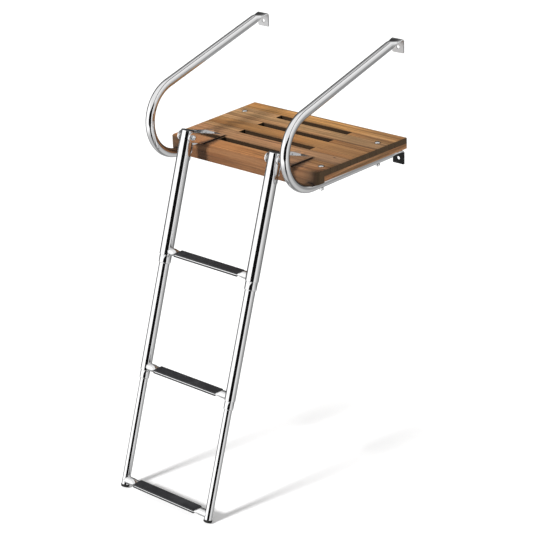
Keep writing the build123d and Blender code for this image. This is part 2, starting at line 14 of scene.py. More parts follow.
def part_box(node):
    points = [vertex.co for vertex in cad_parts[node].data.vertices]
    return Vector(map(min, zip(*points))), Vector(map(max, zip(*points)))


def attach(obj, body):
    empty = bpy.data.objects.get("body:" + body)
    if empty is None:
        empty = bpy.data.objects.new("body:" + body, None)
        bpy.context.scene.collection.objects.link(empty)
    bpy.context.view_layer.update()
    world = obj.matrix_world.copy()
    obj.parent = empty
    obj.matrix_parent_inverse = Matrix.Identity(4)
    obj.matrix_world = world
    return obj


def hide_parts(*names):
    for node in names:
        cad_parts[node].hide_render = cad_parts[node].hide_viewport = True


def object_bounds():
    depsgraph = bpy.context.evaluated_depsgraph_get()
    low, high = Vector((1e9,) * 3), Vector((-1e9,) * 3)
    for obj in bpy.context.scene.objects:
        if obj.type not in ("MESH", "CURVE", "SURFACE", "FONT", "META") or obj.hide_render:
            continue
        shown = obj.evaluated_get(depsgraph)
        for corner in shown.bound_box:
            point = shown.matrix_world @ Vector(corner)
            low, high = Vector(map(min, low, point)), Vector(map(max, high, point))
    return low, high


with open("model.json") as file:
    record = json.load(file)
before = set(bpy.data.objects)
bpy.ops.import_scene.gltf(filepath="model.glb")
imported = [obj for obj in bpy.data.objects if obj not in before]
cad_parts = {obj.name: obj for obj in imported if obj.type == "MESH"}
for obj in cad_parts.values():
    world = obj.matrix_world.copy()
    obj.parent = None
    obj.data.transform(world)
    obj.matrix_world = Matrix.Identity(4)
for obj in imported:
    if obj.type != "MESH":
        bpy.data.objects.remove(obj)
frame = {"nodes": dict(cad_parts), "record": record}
cad_lo, cad_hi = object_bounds()
nodes = frame["nodes"]
scene = bpy.context.scene

# ------------------------------------------------------------------ dimensions
X, Z = Vector((1, 0, 0)), Vector((0, 0, 1))
DECK_TOP, DECK_FRONT = 0.0591, -0.326
LEG_X, RAIL_X = 0.1365, 0.209             # half the spacing of the legs and of the rails
SIDES = ((-1, "left"), (1, "right"))

# ladder: places along a leg are distances down it from the hinge pivot
PIVOT = Vector((0, -0.3645, DECK_TOP + 0.025))
LEAN = math.radians(18.5)
DOWN = Vector((0, -math.sin(LEAN), -math.cos(LEAN)))      # down the leg
BACK = Vector((0, math.cos(LEAN), -math.sin(LEAN)))       # across it, towards the boat
STEPS = {"upper": 0.2695, "middle": 0.5525, "lower": 0.836}
OUTER_DIA = {"upper": 0.03175, "middle": 0.0254, "lower": 0.01905}
WALL = 0.0012
HEAD = 0.014                              # leg above the pivot
PAST_STEP, PAST_LAST_STEP = 0.014, 0.0165
OVERLAP = 0.028                           # of one tube inside the next
UPPER_END = STEPS["upper"] + PAST_STEP
MIDDLE_END = STEPS["middle"] + PAST_STEP
LOWER_END = STEPS["lower"] + PAST_LAST_STEP
LEG_SPANS = {"upper": (-HEAD, UPPER_END),
             "middle": (UPPER_END - OVERLAP, MIDDLE_END),
             "lower": (MIDDLE_END - OVERLAP, LOWER_END)}

# handrails: a level lower run, a loop in front and an upper run rising to the transom
RAIL_Z = DECK_TOP - 0.0391
LOOP_R, RISE = 0.090, math.radians(15.6)
LOOP_REACH = 0.085                        # of the loop, ahead of the deck
LOOP_C = Vector((0, DECK_FRONT - LOOP_REACH + LOOP_R, RAIL_Z + LOOP_R))

CAMERA_AZIMUTH = math.radians(42.177)     # from -Y towards +X


def leg_point(distance, x=0.0):
    return Vector((x, 0, 0)) + PIVOT + DOWN * distance


# ------------------------------------------------------------------ node helpers
class Net:
    """A node tree with its output and shader, and short calls for the other nodes."""

    def __init__(self, tree, output_kind, shader_kind):
        self.tree = tree
        tree.nodes.clear()
        self.output = self.add(output_kind)
        self.shader = self.add(shader_kind)
        self.put(self.output.inputs[0], self.shader.outputs[0])

    def put(self, socket, value):
        """Links or sets an input; colours are given without alpha."""
        if isinstance(value, bpy.types.NodeSocket):
            self.tree.links.new(value, socket)
        elif socket.type == "RGBA":
            socket.default_value = (*value, 1.0)
        else:
            socket.default_value = value

    def fill(self, node, inputs):
        for key, value in inputs.items():
            self.put(node.inputs[key], value)

    def add(self, kind, inputs=None, **props):
        node = self.tree.nodes.new(kind)
        for key, value in props.items():
            setattr(node, key, value)
        self.fill(node, inputs or {})
        return node

    def math(self, operation, first, second=0.0):
        return self.add("ShaderNodeMath", {0: first, 1: second}, operation=operation).outputs[0]

    def product(self, first, *others):
        for other in others:
            first = self.math("MULTIPLY", first, other)
        return first

    def ramp(self, value, over, to=(0.0, 1.0)):
        """Smooth step from to[0] to to[1] while value goes from over[0] to over[1]."""
        inputs = {"Value": value, "From Min": over[0], "From Max": over[1],
                  "To Min": to[0], "To Max": to[1]}
        node = self.add("ShaderNodeMapRange", inputs, interpolation_type="SMOOTHSTEP")
        return node.outputs["Result"]

    def mix(self, factor, first, second):
        return self.add("ShaderNodeMix", {0: factor, 6: first, 7: second},
                        data_type="RGBA").outputs[2]

    def coat(self, base, colour, value, over, to=(0.0, 1.0)):
        """Lays colour over base where the ramp of value is high."""
        return self.mix(self.ramp(value, over, to), base, colour)

    def lerp(self, factor, first, second):
        return self.add("ShaderNodeMix", {0: factor, 2: first, 3: second},
                        data_type="FLOAT").outputs[0]

    def dot(self, vector, constant):
        return self.add("ShaderNodeVectorMath", {0: vector, 1: constant},
                        operation="DOT_PRODUCT").outputs["Value"]

    def facing(self, normal, axis):
        """1 where the surface looks either way along axis."""
        return self.math("ABSOLUTE", self.dot(normal, axis))

    def stretch(self, vector, scale, offset=(0, 0, 0)):
        return self.add("ShaderNodeVectorMath", {0: vector, 1: scale, 2: offset},
                        operation="MULTIPLY_ADD").outputs[0]

    def noise(self, vector, scale=1.0, detail=3.0, rough=0.5, distortion=0.0, seed=None):
        node = self.add("ShaderNodeTexNoise", {
            "Vector": vector, "Scale": scale, "Detail": detail,
            "Roughness": rough, "Distortion": distortion})
        if seed is not None:
            node.noise_dimensions = "4D"
            self.put(node.inputs["W"], seed)
        return node.outputs["Fac"]

    def place(self):
        return self.add("ShaderNodeTexCoord").outputs["Object"]

    def axes(self, vector):
        return self.add("ShaderNodeSeparateXYZ", {0: vector}).outputs

    def board(self, key):
        """A number kept on the object."""
        return self.add("ShaderNodeAttribute", attribute_type="OBJECT",
                        attribute_name=key).outputs["Fac"]

    def tone(self, colour, **changes):
        """Hue, Saturation and Value changes of a colour."""
        return self.add("ShaderNodeHueSaturation", {**changes, "Color": colour}).outputs[0]

    def openness(self, distance):
        return self.add("ShaderNodeAmbientOcclusion", {"Distance": distance},
                        samples=6).outputs["AO"]

    def bump(self, height, strength, distance, bevel=0.0):
        inputs = {"Strength": strength, "Distance": distance, "Height": height}
        if bevel:
            soft = self.add("ShaderNodeBevel", {"Radius": bevel}, samples=4)
            inputs["Normal"] = soft.outputs[0]
        return self.add("ShaderNodeBump", inputs).outputs[0]


def new_material(name):
    material = bpy.data.materials.new(name)
    material.use_nodes = True
    return material, Net(material.node_tree, "ShaderNodeOutputMaterial",
                         "ShaderNodeBsdfPrincipled")


# ------------------------------------------------------------------ teak
LIGHT_WOOD, MID_WOOD, DARK_WOOD = (0.455, 0.222, 0.086), (0.285, 0.128, 0.047), (0.088, 0.044, 0.019)
RED_WOOD, OLIVE_WOOD = (0.370, 0.140, 0.046), (0.235, 0.145, 0.062)
PALE_BAND, PALE_FIBRE = (0.60, 0.320, 0.140), (0.58, 0.32, 0.14)
PORE, KNOT_COLOUR = (0.055, 0.030, 0.018), (0.030, 0.017, 0.011)
END_LIGHT, END_DARK = (0.175, 0.112, 0.060), (0.098, 0.060, 0.032)
END_SPECK, END_CLOUD = (0.235, 0.150, 0.080), (0.120, 0.078, 0.044)
# first colour: painted shade on the ends of the front face; second: grime along the board edges
TIP_SHADE, EDGE_GRIME = (0.075, 0.050, 0.026), (0.052, 0.030, 0.019)
# painted shade: near-black slot walls, shade in hollows, contact shadow in tight corners
SLOT_WALL_SHADE, HOLLOW_SHADE, CONTACT_SHADE = (0.016, 0.011, 0.007), (0.026, 0.017, 0.012), (0.012, 0.008, 0.006)
KNOT = (0.1945, -0.2223)                  # x and y on the deck, near the front right corner
KNOT_SCALE = (200.0, 420.0)               # one over its radii
DRIFT = 0.030                             # sideways wander of the growth layers
SEED_STEP = 3.7                           # spreads the boards' seeds through the noise
# painted light: the battens are brightened because they sit in the deck's shade
BATTEN_LIGHT = 1.52                       # brightness of the battens


def board_tones_and_light(net, colour, place, seed, tint):
    """Sets the boards apart, lighter towards the rear, paints shade on the right-hand ends and
    paints light on the battens, which sit in the deck's shade.
    """
    def vary(middle, rate, swing):
        wave = net.math("SINE", net.math("MULTIPLY", seed, rate))
        return net.math("ADD", middle, net.math("MULTIPLY", wave, swing))

    colour = net.tone(colour, Hue=vary(middle=0.4985, rate=5.1, swing=0.006),
                      Saturation=vary(middle=0.97, rate=2.3, swing=0.06),
                      Value=vary(middle=1.02, rate=3.3, swing=0.09))
    at = net.axes(place)
    # painted shade: darker and greyer towards the right, away from the key light
    across = net.ramp(at["X"], over=(0.02, 0.20), to=(1.07, 0.80))
    depth = net.ramp(at["Y"], over=(DECK_FRONT, -0.02), to=(0.94, 1.16))
    # painted light on the battens
    is_batten = net.math("GREATER_THAN", tint, 0.5)
    return net.tone(colour, Saturation=net.ramp(at["X"], over=(0.04, 0.20), to=(1.03, 0.98)),
                    Value=net.lerp(is_batten, net.product(across, depth), BATTEN_LIGHT))


def edge_shade_and_grime(net, colour, place):
    """Painted shade on the ends of the deck's front face, where the handrail loops cast shadow, and
    grime along each board's edges.
    """
    at = net.axes(place)
    # painted shade: darkens both ends of the front face
    tip = net.product(net.ramp(net.math("ABSOLUTE", at["X"]), over=(0.178, 0.222)),
                      net.ramp(at["Y"], over=(DECK_FRONT + 0.012, DECK_FRONT + 0.002)))
    strength, waver = 0.78, 0.0012
    colour = net.mix(net.math("MULTIPLY", tip, strength), colour, TIP_SHADE)
    at = net.axes(place)
    rim = net.math("MINIMUM", net.math("SUBTRACT", at["Y"], net.board("edge_lo")),
                   net.math("SUBTRACT", net.board("edge_hi"), at["Y"]))
    ragged = net.math("SUBTRACT", net.noise(place, scale=160.0, detail=2.0), 0.5)
    rim = net.math("ADD", rim, net.math("MULTIPLY", ragged, waver))
    return net.coat(colour, EDGE_GRIME, rim, over=(0.0004, 0.0022), to=(0.62, 0.0)), at


def slot_walls(net, normal, at):
    """Mask of the upright faces between the boards, which get painted shade."""
    along_y = net.product(net.ramp(net.facing(normal, (0, 1, 0)), over=(0.6, 0.9)),
                          net.ramp(at["Y"], over=(DECK_FRONT + 0.006, DECK_FRONT + 0.010)),
                          net.ramp(at["Y"], over=(-0.0145, -0.0125), to=(1.0, 0.0)))
    along_x = net.product(net.ramp(net.facing(normal, (1, 0, 0)), over=(0.6, 0.9)),
                          net.ramp(net.math("ABSOLUTE", at["X"]), over=(0.180, 0.176)))
    return net.math("MAXIMUM", along_y, along_x)


def make_teak(name, along):
    """Oiled teak; along is the axis of the grain: 0 for X, 1 for Y."""
    material, net = new_material(name)
    place = net.place()
    seed = net.board("grain")
    shift = net.math("MULTIPLY", seed, SEED_STEP)

    def grain(vector, run, across, detail, rough, offset=(0, 0, 0)):
        """Noise with scale run along the grain and scale across over it."""
        scale = [across] * 3
        scale[along] = run
        return net.noise(net.stretch(vector, scale, offset), detail=detail, rough=rough,
                         seed=shift)

    # the growth layers wander sideways along the board
    drift = grain(place, run=2.4, across=5.0, detail=2.0, rough=0.5)
    wander = net.add("ShaderNodeCombineXYZ")
    for i in range(3):
        amount = 0.0 if i == along else DRIFT
        net.put(wander.inputs[i],
                net.math("MULTIPLY", net.math("SUBTRACT", drift, 0.5), amount))
    warped = net.add("ShaderNodeVectorMath", {0: place, 1: wander.outputs[0]},
                     operation="ADD").outputs[0]
    layers = grain(warped, run=2.2, across=48.0, detail=3.0, rough=0.6)
    cloud = grain(place, run=4.0, across=14.0, detail=2.0, rough=0.5, offset=(0.3, 0.7, 0.1))
    bands = grain(warped, run=1.9, across=120.0, detail=4.0, rough=0.6)
    streak = grain(warped, run=7.0, across=430.0, detail=4.0, rough=0.62)
    fine = grain(warped, run=40.0, across=1700.0, detail=3.0, rough=0.6)
    pores = grain(warped, run=95.0, across=1900.0, detail=1.0, rough=0.5)
    patch = net.noise(place, scale=9.0, detail=2.0, seed=shift)
    speck = net.noise(place, scale=900.0, rough=0.6)

    colour = net.coat(MID_WOOD, LIGHT_WOOD, layers, over=(0.40, 0.59))
    tint = net.board("tint")
    olive = net.math("MAXIMUM", net.ramp(cloud, over=(0.50, 0.68), to=(0.0, 0.60)), tint)
    colour = net.mix(olive, colour, OLIVE_WOOD)
    # colour laid on, its pattern, the pattern's range, strength
    for layer, pattern, over, strength in (
            (RED_WOOD, patch, (0.50, 0.72), 0.45),
            (DARK_WOOD, bands, (0.50, 0.63), 0.74),
            (DARK_WOOD, streak, (0.52, 0.68), 0.64),
            (PALE_BAND, bands, (0.47, 0.36), 0.62),
            (PORE, pores, (0.63, 0.70), 0.65),
            (PALE_FIBRE, fine, (0.30, 0.70), 0.20)):
        colour = net.coat(colour, layer, pattern, over, to=(0.0, strength))
    from_knot = net.stretch(place, (*KNOT_SCALE, 0.0),
                            (-KNOT_SCALE[0] * KNOT[0], -KNOT_SCALE[1] * KNOT[1], 0.0))
    away = net.add("ShaderNodeVectorMath", {0: from_knot}, operation="LENGTH")
    colour = net.coat(colour, KNOT_COLOUR, away.outputs["Value"], over=(0.45, 1.15),
                      to=(0.92, 0.0))
    colour = board_tones_and_light(net, colour, place, seed, tint)

    # end grain: darker, with growth rings cut across
    normal = net.add("ShaderNodeNewGeometry").outputs["Normal"]
    end = net.ramp(net.facing(normal, (1, 0, 0) if along == 0 else (0, 1, 0)),
                   over=(0.22, 0.75))
    rings = net.add("ShaderNodeTexWave", {
        "Vector": net.stretch(warped, scale=(1, 1, 1), offset=(0.0, 0.14, 0.12)),
        "Scale": 95.0, "Distortion": 2.2, "Detail": 3.0, "Detail Scale": 2.2},
        wave_type="RINGS", rings_direction="X" if along == 0 else "Y",
        wave_profile="SAW").outputs["Fac"]
    end_colour = net.coat(END_LIGHT, END_DARK, rings, over=(0.1, 0.95))
    end_colour = net.coat(end_colour, END_SPECK, speck, over=(0.45, 0.65), to=(0.0, 0.6))
    end_cloud = net.noise(place, scale=45.0, detail=2.0, seed=shift)
    end_colour = net.coat(end_colour, END_CLOUD, end_cloud, over=(0.35, 0.65), to=(0.0, 0.45))
    colour = net.mix(end, colour, end_colour)

    colour, at = edge_shade_and_grime(net, colour, place)
    wall = slot_walls(net, normal, at)
    speckled = net.ramp(speck, over=(0.3, 0.7), to=(0.97, 0.86))
    # painted shade: near-black colour laid on the upright faces between the boards
    colour = net.mix(net.math("MULTIPLY", wall, speckled), colour, SLOT_WALL_SHADE)
    # painted shade in hollows, then painted contact shadow in tight corners
    colour = net.coat(colour, HOLLOW_SHADE, net.openness(distance=0.022), over=(0.40, 0.88),
                      to=(0.90, 0.0))
    colour = net.coat(colour, CONTACT_SHADE, net.openness(distance=0.005), over=(0.55, 0.93),
                      to=(0.95, 0.0))

    # relief: growth layers with sunken pores, specks and rings on the ends
    streak_height, band_height = 0.55, 0.35
    speck_height, ring_height = 0.9, 0.25
    height = net.math("ADD", net.math("MULTIPLY", streak, streak_height),
                      net.math("MULTIPLY", bands, band_height))
    height = net.math("SUBTRACT", height, net.ramp(pores, over=(0.60, 0.70), to=(0.0, 0.5)))
    end_height = net.math("ADD", net.math("MULTIPLY", speck, speck_height),
                          net.math("MULTIPLY", rings, ring_height))
    end_rough, face_shine, wall_shine = 0.78, 0.26, 0.05
    net.fill(net.shader, {
        "Base Color": colour,
        "Roughness": net.lerp(end, net.ramp(streak, over=(0.3, 0.7), to=(0.46, 0.62)),
                              end_rough),
        "Specular IOR Level": net.lerp(wall, face_shine, wall_shine),
        "Normal": net.bump(net.lerp(end, height, end_height), strength=0.45,
                           distance=0.0007, bevel=0.0012)})
    return material


# ------------------------------------------------------------------ metal and plastic
def make_steel(name, rough=0.040, base=0.87, edge=0.34, brushed=0.0):
    """Steel with polishing marks and slight smears.

    base and edge are the greys seen straight on and at grazing angles; the darker edge grey is a
    painted dark reflection along the rims.
    """
    material, net = new_material(name)
    place = net.place()
    smear = net.noise(place, scale=38.0, rough=0.6, distortion=0.4)
    marks = net.noise(net.stretch(place, scale=(2600.0, 900.0, 60.0)), detail=2.0, rough=0.6)
    grazing = net.add("ShaderNodeLayerWeight", {"Blend": 0.5}).outputs["Facing"]
    clean, smeared = (base, base, base * 1.005), (base * 0.90, base * 0.90, base * 0.91)
    colour = net.coat(clean, smeared, smear, over=(0.35, 0.7), to=(0.0, 0.30))
    # painted reflection: darker grey towards grazing angles
    colour = net.coat(colour, (edge, edge, edge * 1.01), grazing, over=(0.40, 0.86))
    smear_rough = net.ramp(smear, over=(0.3, 0.75), to=(rough, rough + 0.055))
    mark_rough = net.ramp(marks, over=(0.45, 0.8), to=(0.0, 0.03 + brushed))
    net.fill(net.shader, {
        "Base Color": colour,
        "Metallic": 1.0,
        "Roughness": net.math("ADD", smear_rough, mark_rough),
        "Normal": net.bump(marks, strength=0.10 + brushed, distance=0.00002, bevel=0.0005)})
    return material


def make_plastic(name, colour, dusty, rough, grain_depth=0.00012, grain_scale=1500.0,
                 shine=0.45):
    """Moulded plastic or rubber with a fine texture, scuffed a little."""
    material, net = new_material(name)
    place = net.place()
    fine = net.noise(place, scale=grain_scale, rough=0.6)
    wear = net.noise(place, scale=26.0, detail=4.0, rough=0.65)
    scuff = net.noise(net.stretch(place, scale=(30.0, 520.0, 520.0)), rough=0.6)
    worn = net.coat(colour, dusty, wear, over=(0.42, 0.70), to=(0.0, 0.5))
    worn = net.coat(worn, dusty, scuff, over=(0.60, 0.74), to=(0.0, 0.4))
    wear_rough = net.ramp(wear, over=(0.3, 0.7), to=(rough - 0.05, rough + 0.10))
    fine_rough = net.ramp(fine, over=(0.3, 0.7), to=(-0.04, 0.05))
    net.fill(net.shader, {
        "Base Color": worn,
        "Roughness": net.math("ADD", wear_rough, fine_rough),
        "Specular IOR Level": shine,
        "Normal": net.bump(fine, strength=0.5, distance=grain_depth)})
    return material


TEAK_X = make_teak("teak_lengthwise", along=0)
TEAK_Y = make_teak("teak_crosswise", along=1)
STEEL = make_steel("polished_stainless")
SHEET = make_steel("polished_sheet", rough=0.085, base=0.90, edge=0.55, brushed=0.01)
FASTENER = make_steel("stainless_fastener", rough=0.13, base=0.80, edge=0.34, brushed=0.05)
TREAD = make_plastic("black_tread", colour=(0.018, 0.018, 0.020),
                     dusty=(0.050, 0.050, 0.053), rough=0.40)
CAP = make_plastic("black_cap", colour=(0.016, 0.016, 0.017),
                   dusty=(0.040, 0.040, 0.042), rough=0.36)
RUBBER = make_plastic("rubber_foot", colour=(0.014, 0.014, 0.014),
                      dusty=(0.040, 0.039, 0.037), rough=0.62,
                      grain_depth=0.0002, grain_scale=900.0, shine=0.25)
NYLON = make_plastic("nylon_guide", colour=(0.62, 0.62, 0.58), dusty=(0.50, 0.50, 0.46),
                     rough=0.45, grain_depth=0.00005, grain_scale=1200.0)

MATERIAL_OF = {"stainless": STEEL, "fastener": FASTENER, "black_plastic": TREAD,
               "rubber": RUBBER, "nylon": NYLON}


# ------------------------------------------------------------------ mesh helpers
def finish_piece(shape, name, material, body, cad_node, crease):
    """Turns a bmesh into a smooth piece; edges bent by more than crease degrees are sharp."""
    bmesh.ops.recalc_face_normals(shape, faces=shape.faces)
    for face in shape.faces:
        face.smooth = True
    for edge in shape.edges:
        if len(edge.link_faces) == 2 and edge.calc_face_angle(0.0) > math.radians(crease):
            edge.smooth = False
    piece = add_mesh(shape, name)
    piece.data.materials.append(material)
    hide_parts(cad_node)
    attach(piece, body)
    return piece


def add_mesh(shape, name):
    mesh = bpy.data.meshes.new(name)
    shape.to_mesh(mesh)
    shape.free()
    made = bpy.data.objects.new(name, mesh)
    scene.collection.objects.link(made)
    return made


def turns(count):
    """Angles evenly round a circle."""
    return [2 * math.pi * i / count for i in range(count)]


def skin(shape, rings, close=False):
    """Faces between rings of points; every ring has the same count."""
    rows = [[shape.verts.new(point) for point in ring] for ring in rings]
    pairs = list(zip(rows, rows[1:])) + ([(rows[-1], rows[0])] if close else [])
    count = len(rows[0])
    for near, far in pairs:
        for i in range(count):
            j = (i + 1) % count
            shape.faces.new((near[i], near[j], far[j], far[i]))
    return rows


def capped_skin(shape, rings):
    rows = skin(shape, rings)
    shape.faces.new(list(reversed(rows[0])))
    shape.faces.new(rows[-1])


def square_to(axis):
    """Two unit vectors square to a unit axis and to each other."""
    guide = X if abs(axis.dot(X)) < 0.9 else Z
    side = (guide - axis * guide.dot(axis)).normalized()
    return side, axis.cross(side)


def lathe(shape, origin, axis, profile, segments=96):
    """Solid of revolution. profile is [(distance along axis, radius)].

    Radius 0 closes an end; a profile that ends where it began makes a hollow piece.
    """
    side, other = square_to(axis)
    closed = profile[0] == profile[-1]
    rows = []
    for distance, radius in profile[:-1] if closed else profile:
        centre = origin + axis * distance
        if radius < 1e-9:
            rows.append([shape.verts.new(centre)])
        else:
            rows.append([shape.verts.new(
                centre + (side * math.cos(turn) + other * math.sin(turn)) * radius)
                for turn in turns(segments)])
    if closed:
        rows.append(rows[0])
    for near, far in zip(rows, rows[1:]):
        for i in range(segments):
            j = (i + 1) % segments
            if len(near) == 1:
                shape.faces.new((near[0], far[j], far[i]))
            elif len(far) == 1:
                shape.faces.new((near[i], near[j], far[0]))
            else:
                shape.faces.new((near[i], near[j], far[j], far[i]))


def dome(radius, base, top, count, edge=0.0004):
    """Profile of a low dome: a short cylinder, then an ellipse up to the axis."""
    rise = top - base
    wall = rise * 0.22
    curve = [(base + wall + (rise - wall) * math.sin(turn), radius * math.cos(turn))
             for turn in (math.pi / 2 * i / count for i in range(count))]
    return [(base, radius - edge), (base + edge, radius)] + curve + [(top, 0.0)]


def stadium(width, thick, count):
    """Points round a slot outline, evenly along its length, from its +u tip."""
    radius, half = thick / 2, (width - thick) / 2
    total = 2 * math.pi * radius + 4 * half
    quarter = math.pi * radius / 2
    points = []
    for i in range(count):
        run = total * i / count
        if run < quarter:
            centre, turn = half, run / radius
        elif run < quarter + 2 * half:
            points.append((half - (run - quarter), radius))
            continue
        elif run < quarter * 3 + 2 * half:
            centre, turn = -half, math.pi / 2 + (run - quarter - 2 * half) / radius
        elif run < quarter * 3 + 4 * half:
            points.append((-half + (run - quarter * 3 - 2 * half), -radius))
            continue
        else:
            centre, turn = half, 3 * math.pi / 2 + (run - quarter * 3 - 4 * half) / radius
        points.append((centre + radius * math.cos(turn), radius * math.sin(turn)))
    return points


def pressed(radius, width, thick, flatness, count=72):
    """Section between a round tube, flatness 0, and a flattened one, flatness 1."""
    points = []
    for turn, flat in zip(turns(count), stadium(width, thick, count)):
        u, v = radius * math.cos(turn), radius * math.sin(turn)
        points.append((u + (flat[0] - u) * flatness, v + (flat[1] - v) * flatness))
    return points


def ease(x):
    x = max(0.0, min(1.0, x))
    return x * x * (3 - 2 * x)


# ------------------------------------------------------------------ CAD nodes that stay
# deck board, share of olive tint
BOARDS = (("front_plank", 0.0), ("plank_second", 0.45), ("plank_middle", 0.25),
          ("plank_fourth", 0.0), ("plank_rear", 0.10),
          ("slot_blocks_left", 0.25), ("slot_blocks_right", 0.15),
          ("batten_left", 0.70), ("batten_right", 0.70))
NO_EDGE = 9.0                             # far enough off to draw no edge grime


def dress(name, material):
    node = nodes[name]
    node.data.materials.clear()
    node.data.materials.append(material)
    return node


for i, (name, tint) in enumerate(BOARDS):
    board = dress(name, TEAK_Y if name.startswith("batten") else TEAK_X)
    board["grain"] = 1.0 + 1.37 * i
    lo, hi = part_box(name)
    plain = name.startswith(("slot", "batten"))
    board["tint"] = tint
    board["edge_lo"] = -NO_EDGE if plain else lo.y
    board["edge_hi"] = NO_EDGE if plain else hi.y

for subpart in frame["record"]["subparts"]:
    name, slot = subpart["node"], subpart["material_slot"]
    if slot not in MATERIAL_OF:
        continue
    if name == "top_caps":
        dress(name, CAP)
    elif name.startswith("hinge_bracket"):
        dress(name, SHEET)
    else:
        dress(name, MATERIAL_OF[slot])


# ------------------------------------------------------------------ ladder legs
def tube_profile(start, end, outer_dia, bevel=0.0003):
    outer, inner = outer_dia / 2, outer_dia / 2 - WALL
    return [(start, outer - bevel), (start + bevel, outer), (end - bevel, outer),
            (end, outer - bevel), (end, inner + bevel), (end - bevel, inner),
            (start + bevel, inner), (start, inner + bevel), (start, outer - bevel)]


def on_both_legs(name, profile, material, section, cad_node, crease):
    """One piece turned about both legs."""
    shape = bmesh.new()
    for side, _ in SIDES:
        lathe(shape, leg_point(0, side * LEG_X), DOWN, profile)
    finish_piece(shape, name, material, "ladder_" + section, cad_node, crease)


def collar_profile(end, outer_dia, inner_dia, sleeve):
    """A spigot inside the outer tube and below it a sleeve with softened rims."""
    bore, spigot = inner_dia / 2 + 0.00005, outer_dia / 2 - WALL
    soft, depth, length = 0.0007, 0.010, 0.021
    return [(end - depth, spigot), (end, spigot), (end, sleeve - soft),
            (end + soft * 0.3, sleeve - soft * 0.3), (end + soft, sleeve),
            (end + 0.0185, sleeve), (end + 0.0200, sleeve - 0.0004),
            (end + length, sleeve - 0.0012), (end + length, bore + 0.0003),
            (end + 0.0207, bore), (end - depth, bore), (end - depth, spigot)]


for side, word in SIDES:
    for section, (start, end) in LEG_SPANS.items():
        shape = bmesh.new()
        lathe(shape, leg_point(0, side * LEG_X), DOWN,
              tube_profile(start, end, OUTER_DIA[section]))
        finish_piece(shape, f"leg_{section}_{word}", STEEL, "ladder_" + section,
                     f"{section}_tube_{word}", crease=20.0)

for section, inner, sleeve in (("upper", "middle", 0.0146), ("middle", "lower", 0.0115)):
    profile = collar_profile(LEG_SPANS[section][1], OUTER_DIA[section], OUTER_DIA[inner],
                             sleeve)
    on_both_legs(f"collars_{section}", profile, STEEL, section, f"{section}_collars",
                 crease=28.0)

# plugs in the tops of the legs: distance down from the tube's top, radius
PLUG = ((0.005, 0), (0.005, 0.01440), (0, 0.01460), (0, 0.01575), (-0.0006, 0.01587),
        (-0.0012, 0.0156), (-0.0018, 0.0149), (-0.0022, 0.0138), (-0.0022, 0.011),
        (-0.0017, 0.0100), (-0.0017, 0))
on_both_legs("plugs", [(-HEAD + down, radius) for down, radius in PLUG], CAP, "upper",
             "top_caps", crease=40.0)

# feet with two moulded rings: distance down from the tube's end, radius
FOOT = ((-0.009, 0), (-0.009, 0.0079), (-0.0085, 0.0083), (0, 0.0083), (0, 0.0098),
        (0.0003, 0.0102), (0.0016, 0.0102), (0.0019, 0.0099), (0.0023, 0.0099),
        (0.0026, 0.0102), (0.0040, 0.0102), (0.0051, 0.0098), (0.0060, 0.0089),
        (0.0065, 0.0077), (0.0065, 0))
on_both_legs("feet_rubber", [(LOWER_END + down, radius) for down, radius in FOOT], RUBBER,
             "lower", "feet", crease=40.0)

# ------------------------------------------------------------------ crossbars and treads
BAR_R, BAR_DROP = 0.009525, 0.0043
BAR_FLAT_W, BAR_FLAT_T = 0.027, 0.0044    # section where pressed flat
PRESS_FROM, PRESS_RUN = 0.112, 0.019      # x where pressing starts, and its length inwards
COPE_SINK = 0.0006                        # of the bar's end into the leg
BEAD_R, BEAD_LIFT = 0.0007, 0.0001


def bar_axis(section):
    centre = leg_point(STEPS[section])
    return centre.y - BAR_DROP * math.tan(LEAN), centre.z - BAR_DROP


def saddle_x(leg_radius, offset):
    """Where a line along X, offset from the leg's axis, meets the leg's inner side."""
    return LEG_X - math.sqrt(max(leg_radius ** 2 - offset.dot(BACK) ** 2, 0.0))


def weld_bead(shape, side, bar_y, bar_z, leg_radius):
    loops = []
    for i, turn in enumerate(turns(90)):
        offset = Vector((0, math.cos(turn), math.sin(turn))) * BAR_R
        centre = Vector((side * saddle_x(leg_radius + BEAD_LIFT, offset),
                         bar_y + offset.y, bar_z + offset.z))
        outward, inward = offset.normalized(), Vector((-side, 0, 0))
        radius = BEAD_R * (1.0 + 0.08 * math.sin(i * 2 * math.pi / 3.0))
        loops.append([centre + (outward * math.cos(q) + inward * math.sin(q)) * radius
                      for q in turns(10)])
    skin(shape, loops, close=True)


def crossbar(section):
    """Tube coped onto both legs, widening as it is pressed flat between them."""
    bar_y, bar_z = bar_axis(section)
    leg_radius = OUTER_DIA[section] / 2
    xs = [0.1175, 0.1145, PRESS_FROM]
    xs += [PRESS_FROM - PRESS_RUN * i / 10 for i in range(1, 11)] + [0.090, 0.060, 0.030, 0.0]
    half = [(x, pressed(BAR_R, BAR_FLAT_W, BAR_FLAT_T, ease((PRESS_FROM - x) / PRESS_RUN)))
            for x in xs]
    end_section = half[0][1]
    cope = [saddle_x(leg_radius - COPE_SINK, Vector((0, u, v))) for u, v in end_section]
    shape = bmesh.new()
    rings = []
    for side, _ in SIDES:
        rows = [[Vector((side * x, bar_y + u, bar_z + v))
                 for x, (u, v) in zip(cope, end_section)]]
        rows += [[Vector((side * x, bar_y + u, bar_z + v)) for u, v in points]
                 for x, points in half]
        rings += rows if side < 0 else list(reversed(rows))[1:]
    skin(shape, rings)
    for side, _ in SIDES:
        weld_bead(shape, side, bar_y, bar_z, leg_radius)
    finish_piece(shape, f"rung_{section}", STEEL, "ladder_" + section,
                 f"{section}_crossbar", crease=50.0)


def arc(u, v, radius, start, end, count):
    """Points round (u, v) between two angles in degrees."""
    return [(u + radius * math.cos(math.radians(start + (end - start) * i / count)),
             v + radius * math.sin(math.radians(start + (end - start) * i / count)))
            for i in range(count + 1)]


